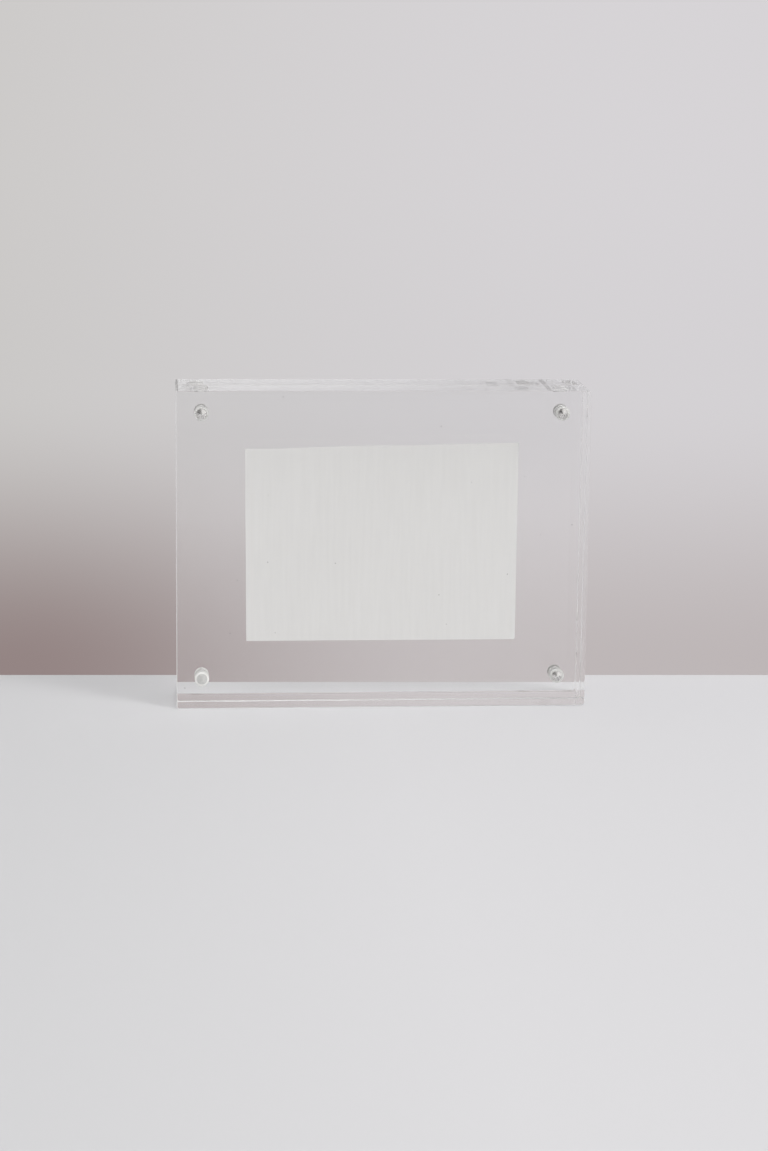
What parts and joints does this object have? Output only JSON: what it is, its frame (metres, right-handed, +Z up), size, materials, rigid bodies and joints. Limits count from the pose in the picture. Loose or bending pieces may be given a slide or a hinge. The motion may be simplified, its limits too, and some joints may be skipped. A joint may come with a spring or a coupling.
{
  "type": "magnetic block photo frame",
  "caption": "Frameless desk photo frame: thick clear plates held together by magnets in their corners clamp a card between them and stand on their long edge.",
  "frame": {"origin": "middle of the base, on the surface that the frame stands on, half way between the two plates", "axes": "+Z up, +X to the right seen from the front, front face towards -Y"},
  "size_m": [0.1142, 0.0258, 0.0889],
  "materials": {
    "acrylic": "polished",
    "card": "matte",
    "nickel": "polished",
    "adhesive": "satin"
  },
  "bodies": {
    "back": {"back_plate": "acrylic", "back_magnet_top_left": "nickel", "back_magnet_top_right": "nickel", "back_magnet_bottom_left": "nickel", "back_magnet_bottom_right": "nickel", "back_adhesive_top_left": "adhesive", "back_adhesive_top_right": "adhesive", "back_adhesive_bottom_left": "adhesive", "back_adhesive_bottom_right": "adhesive"},
    "front": {"front_plate": "acrylic", "front_magnet_top_left": "nickel", "front_magnet_top_right": "nickel", "front_magnet_bottom_left": "nickel", "front_magnet_bottom_right": "nickel", "front_adhesive_top_left": "adhesive", "front_adhesive_top_right": "adhesive", "front_adhesive_bottom_left": "adhesive", "front_adhesive_bottom_right": "adhesive"},
    "card": {"photo_card": "card"}
  },
  "joints": [
    {"name": "front_plate_pull", "type": "slide", "parent": "back", "child": "front", "axis": [0, -1, 0], "range_m": [0, 0.06]},
    {"name": "card_lift", "type": "slide", "parent": "back", "child": "card", "axis": [0, 0, 1], "range_m": [0, 0.08]}
  ]
}
